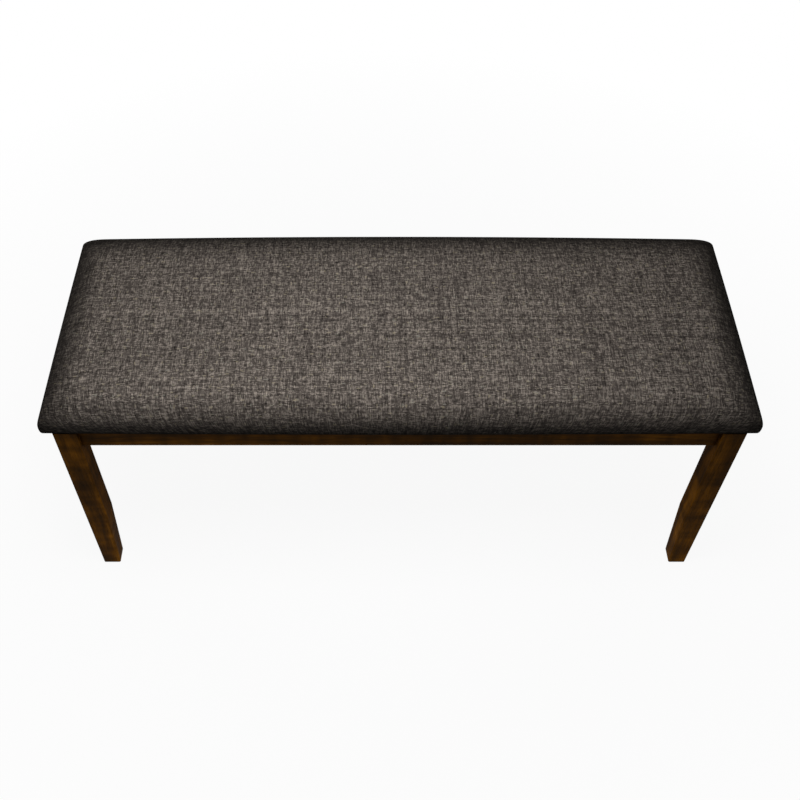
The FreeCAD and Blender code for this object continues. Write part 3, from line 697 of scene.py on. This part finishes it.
def smooth_object(name, mesh):
    """Object of a smooth-shaded mesh."""
    mesh.update()
    mesh.polygons.foreach_set("use_smooth", [True] * len(mesh.polygons))
    piece = bpy.data.objects.new(name, mesh)
    bpy.context.scene.collection.objects.link(piece)
    return piece


def close_floor(mesh):
    """Fill the opening under the form, and turn every face outwards."""
    working = bmesh.new()
    working.from_mesh(mesh)
    rim = [edge for edge in working.edges if edge.is_boundary]
    bmesh.ops.holes_fill(working, edges=rim, sides=0)
    bmesh.ops.recalc_face_normals(working, faces=working.faces)
    working.to_mesh(mesh)
    working.free()


def apply_modifiers(piece):
    """Replace the piece's mesh by what its modifiers make of it."""
    graph = bpy.context.evaluated_depsgraph_get()
    mesh = bpy.data.meshes.new_from_object(piece.evaluated_get(graph), depsgraph=graph)
    piece.modifiers.clear()
    piece.data = mesh


def read_vertices(mesh, name):
    """The vertices' places or normals, one row each."""
    values = np.empty(len(mesh.vertices) * 3)
    mesh.vertices.foreach_get(name, values)
    return values.reshape(-1, 3)


def add_cloth(cover, held):
    """Cloth that is blown up from inside, and stays where it is held."""
    cloth = cover.modifiers.new("Cloth", "CLOTH")
    cloth.settings.quality = 5
    cloth.settings.mass = 0.3
    cloth.settings.tension_stiffness = 25
    cloth.settings.compression_stiffness = 25
    cloth.settings.shear_stiffness = 10
    cloth.settings.bending_stiffness = 0.8
    cloth.settings.use_pressure = True
    cloth.settings.uniform_pressure_force = PRESSURE
    cloth.settings.vertex_group_mass = held.name
    cloth.settings.effector_weights.gravity = 0.0
    cloth.collision_settings.use_collision = False
    cloth.point_cache.frame_start = 1
    cloth.point_cache.frame_end = SIMULATED_FRAMES


def simulate_cover(cover):
    """Blow the cover up against its stapled edge; the foam keeps it from sinking inwards."""
    scene = bpy.context.scene
    start = read_vertices(cover.data, "co")
    outward = read_vertices(cover.data, "normal")
    held = cover.vertex_groups.new(name="held")
    low = np.flatnonzero(start[:, 2] < SEAT_BOTTOM + HELD_HEIGHT)
    held.add(low.tolist(), 1.0, "REPLACE")
    add_cloth(cover, held)
    for number in range(1, SIMULATED_FRAMES + 1):
        scene.frame_set(number)
    graph = bpy.context.evaluated_depsgraph_get()
    swollen = read_vertices(cover.evaluated_get(graph).data, "co")
    cover.modifiers.clear()
    swell = np.maximum(((swollen - start) * outward).sum(axis=1, keepdims=True), 0.0)
    swell = np.tanh(swell / SWELL_LIMIT) * SWELL_LIMIT
    cover.data.vertices.foreach_set("co", (start + outward * swell).ravel())
    cover.data.update()
    scene.frame_set(1)


def make_cover(material):
    """The seat's fabric, stretched over the pad and turned under the board."""
    lower = SWELL_ROOM
    tuck = [(depth, SEAT_BOTTOM + height) for depth, height in COVER_TUCK]
    cover = PadForm(0.0, COVER_CELLS, COVER_ROLL_STEPS, lower).build("fabric_cover", tuck)
    simulate_cover(cover)
    smooth = cover.modifiers.new("Smooth", "SUBSURF")
    smooth.levels = 1
    smooth.render_levels = 1
    apply_modifiers(cover)
    close_floor(cover.data)
    cover.data.materials.append(material)
    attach(cover, "root")
    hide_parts("seat_cover")


def make_layer(name, node, material, inset, bottom):
    """A soft layer inside the cover, with its underside at a level."""
    wall = SEAT_BOTTOM + WIDEST_HEIGHT
    drawn_in = 0.006
    tuck = (
        (drawn_in * 0.3, wall + (bottom - wall) * 0.5),
        (drawn_in * 0.8, wall + (bottom - wall) * 0.9),
        (drawn_in, bottom),
    )
    layer = PadForm(inset, LAYER_CELLS, LAYER_ROLL_STEPS).build(name, tuck)
    close_floor(layer.data)
    layer.data.materials.append(material)
    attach(layer, "root")
    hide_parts(node)


# Underside

def cloth_sag(x, y):
    """How far the dust cover hangs between the frame's members."""
    sag = 0.0022
    inner_x = abs(END_APRON_HIGH.x)
    inner_y = abs(APRON_HIGH.y)
    across = max(0.0, 1 - (y / inner_y) ** 2)
    if abs(x) < RAIL_LOW.x:
        share = 1 - (x / RAIL_LOW.x) ** 2
    elif RAIL_HIGH.x < abs(x) < inner_x:
        middle = (RAIL_HIGH.x + inner_x) / 2
        share = 1 - ((abs(x) - middle) / (inner_x - middle)) ** 2
    else:
        share = 0.0
    return sag * across * max(0.0, share)


def make_dust_cloth(material):
    """Thin cloth under the seat, clamped by the frame and hanging a little between."""
    step = 0.0085
    edge = 0.0004
    level = (CLOTH_LOW.z + CLOTH_HIGH.z) / 2
    low = CLOTH_LOW.xy + Vector((edge, edge))
    high = CLOTH_HIGH.xy - Vector((edge, edge))
    columns = round((high.x - low.x) / step)
    rows = round((high.y - low.y) / step)
    points = []
    for column in range(columns + 1):
        for row in range(rows + 1):
            x = low.x + (high.x - low.x) * column / columns
            y = low.y + (high.y - low.y) * row / rows
            points.append((x, y, level - cloth_sag(x, y)))
    faces = []
    for column in range(columns):
        for row in range(rows):
            corner = column * (rows + 1) + row
            faces.append((corner, corner + 1, corner + rows + 2, corner + rows + 1))
    mesh = bpy.data.meshes.new("dust_cloth")
    mesh.from_pydata(points, [], faces)
    mesh.materials.append(material)
    cloth = smooth_object("dust_cloth", mesh)
    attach(cloth, "root")
    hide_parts("dust_cover")


# Finishes of the pieces kept from the model

CORNERS = [f"{row}_{side}" for row in ("front", "rear") for side in ("left", "right")]
APRON_GRAIN = {"front": "X", "rear": "X", "left": "Y", "right": "Y"}
STEEL_NODES = (
    "hanger_bolts",
    "hanger_washers",
    "hanger_nuts",
    "corner_block_screws",
    "seat_screws",
    "cover_staples",
    "dust_cover_staples",
)


def dress(node, material):
    """Give a piece of the model its material."""
    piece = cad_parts[node]
    if not piece.data.materials:
        piece.data.materials.append(material)
    for slot in range(len(piece.data.materials)):
        piece.data.materials[slot] = material


def dress_wood():
    """Stained legs and aprons, and raw wood inside; each has a seed of its own."""
    for seed, corner in enumerate(CORNERS, start=1):
        dress(f"leg_{corner}", wood_material(f"walnut_leg_{corner}", "Z", seed, WALNUT))
    for seed, (side, axis) in enumerate(APRON_GRAIN.items(), start=5):
        dress(f"apron_{side}", wood_material(f"walnut_apron_{side}", axis, seed, WALNUT))
    for seed, side in enumerate(("left", "right"), start=21):
        dress(f"cross_rail_{side}", wood_material(f"raw_rail_{side}", "Y", seed, RAW_OAK, False))
    for seed, corner in enumerate(CORNERS, start=31):
        node = f"corner_block_{corner}"
        dress(node, wood_material(f"raw_{node}", "Z", seed, RAW_OAK, False))
    dress("apron_dowels", wood_material("raw_beech", "X", 41, RAW_BEECH, False))
    dress("seat_board", plywood_material())


def dress_fittings():
    """Steel fasteners, and nylon glides under the legs."""
    steel = steel_material()
    for node in STEEL_NODES:
        dress(node, steel)
    nylon = nylon_material()
    for corner in CORNERS:
        dress(f"foot_glide_{corner}", nylon)


# Studio

def make_floor():
    """Pale floor that shows white, with the bench's shadow on it."""
    side = 14
    white = (1.0, 1.0, 1.0)
    bpy.ops.mesh.primitive_plane_add(size=side, location=(0, 0, 0))
    floor = bpy.context.object
    floor.name = "studio_floor"
    shader = Shader("pale_floor")
    rays = shader.node("ShaderNodeLightPath")
    seen, glossy, through = (
        rays.outputs[name] for name in ("Is Camera Ray", "Is Glossy Ray", "Is Transmission Ray")
    )
    mirrored = shader.math("MAXIMUM", glossy, through)
    tone = shader.blend(seen, linear(190, 190, 190), white)
    shader.set(Base_Color=tone, Roughness=0.9, Specular_IOR_Level=0.0)
    glow = shader.node("ShaderNodeEmission")
    glow.inputs["Strength"].default_value = 1.0
    distance = shader.node("ShaderNodeVectorMath", operation="LENGTH")
    shader.put(distance.inputs[0], shader.place())
    plain = shader.remap(distance.outputs["Value"], 0.5, 1.5, FLOOR_GLOW, 1.0)
    share = shader.math("MULTIPLY", seen, plain)
    share = shader.math("ADD", share, shader.math("MULTIPLY", mirrored, MIRRORED_GLOW))
    mixed = shader.node("ShaderNodeMixShader")
    shader.put(mixed.inputs[0], share)
    shader.put(mixed.inputs[1], shader.surface.outputs[0])
    shader.put(mixed.inputs[2], glow.outputs[0])
    shader.put(shader.output.inputs["Surface"], mixed.outputs[0])
    floor.data.materials.append(shader.material)


def make_world():
    """Even light from all round, and white where the camera sees past the floor."""
    world = bpy.data.worlds.new("Studio")
    bpy.context.scene.world = world
    world.use_nodes = True
    tree = world.node_tree
    background = tree.nodes["Background"]
    background.inputs["Color"].default_value = (1, 1, 1, 1)
    rays = tree.nodes.new("ShaderNodeLightPath")
    seen = tree.nodes.new("ShaderNodeMath")
    seen.operation = "MAXIMUM"
    tree.links.new(rays.outputs["Is Camera Ray"], seen.inputs[0])
    tree.links.new(rays.outputs["Is Transmission Ray"], seen.inputs[1])
    level = tree.nodes.new("ShaderNodeMapRange")
    level.inputs["To Min"].default_value = AMBIENT
    level.inputs["To Max"].default_value = 1.0
    tree.links.new(seen.outputs[0], level.inputs["Value"])
    tree.links.new(level.outputs[0], background.inputs["Strength"])


def make_lamp(name, place, aim, size, power):
    """Rectangular soft lamp at a place, turned to its aim."""
    data = bpy.data.lights.new(name, "AREA")
    data.shape = "RECTANGLE"
    data.size, data.size_y = size
    data.energy = power
    lamp = bpy.data.objects.new(name, data)
    lamp.location = place
    lamp.rotation_euler = (Vector(aim) - Vector(place)).to_track_quat("-Z", "Y").to_euler()
    bpy.context.scene.collection.objects.link(lamp)


make_camera()
make_floor()
make_world()
make_lamp("overhead", (-0.14, -0.30, 1.48), (-0.12, -0.05, 0.45), (0.6, 0.5), 11.6)
bpy.context.scene.view_settings.view_transform = "Standard"

make_cover(fabric_material())
wadding_bottom = BOARD_LOW.z + LAYER_PLAY
foam_bottom = BOARD_HIGH.z + LAYER_PLAY
make_layer("wadding_layer", "wadding", wadding_material(), WADDING_INSET, wadding_bottom)
make_layer("foam_core", "foam_pad", foam_material(), FOAM_INSET, foam_bottom)
make_dust_cloth(dust_cloth_material())
dress_wood()
dress_fittings()
